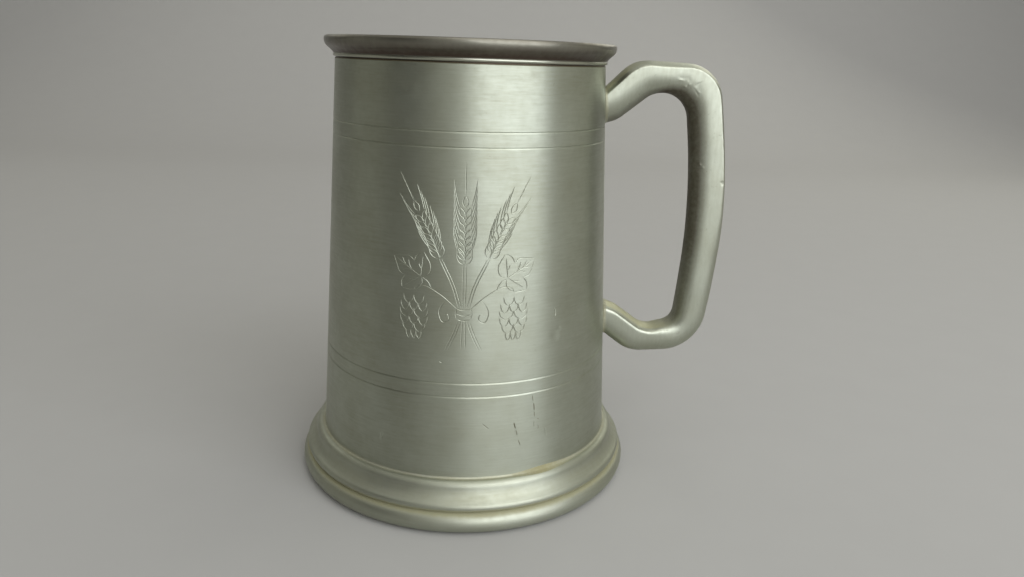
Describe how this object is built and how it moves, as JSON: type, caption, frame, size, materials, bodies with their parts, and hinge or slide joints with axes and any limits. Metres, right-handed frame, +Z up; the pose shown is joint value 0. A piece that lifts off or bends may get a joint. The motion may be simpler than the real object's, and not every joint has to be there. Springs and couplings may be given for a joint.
{
  "type": "tankard",
  "caption": "Pewter tankard: straight tapering barrel with incised ring pairs, flared moulded lip, heavy moulded foot and a cast scroll handle, open at the top for drinking.",
  "frame": {"origin": "centre of the tankard's bounding box, handle included, on the surface that its foot stands on", "axes": "+Z up along the barrel, +X towards the handle, so the handle is on the right when seen along +Y"},
  "size_m": [0.1284, 0.1024, 0.128],
  "materials": {
    "barrel_pewter": "satin pewter with fine turning lines running round the barrel",
    "lip_pewter": "smooth turned pewter, darker in the cove",
    "foot_pewter": "turned pewter, tarnished in the grooves",
    "floor_pewter": "dull spun pewter",
    "handle_pewter": "worn cast pewter, smooth from handling",
    "solder": "wiped soft solder"
  },
  "bodies": {
    "root": {"barrel": "barrel_pewter", "lip_ring": "lip_pewter", "foot_ring": "foot_pewter", "floor_disc": "floor_pewter", "handle": "handle_pewter", "upper_handle_solder": "solder", "lower_handle_solder": "solder", "foot_solder": "solder", "floor_solder": "solder"}
  },
  "joints": []
}
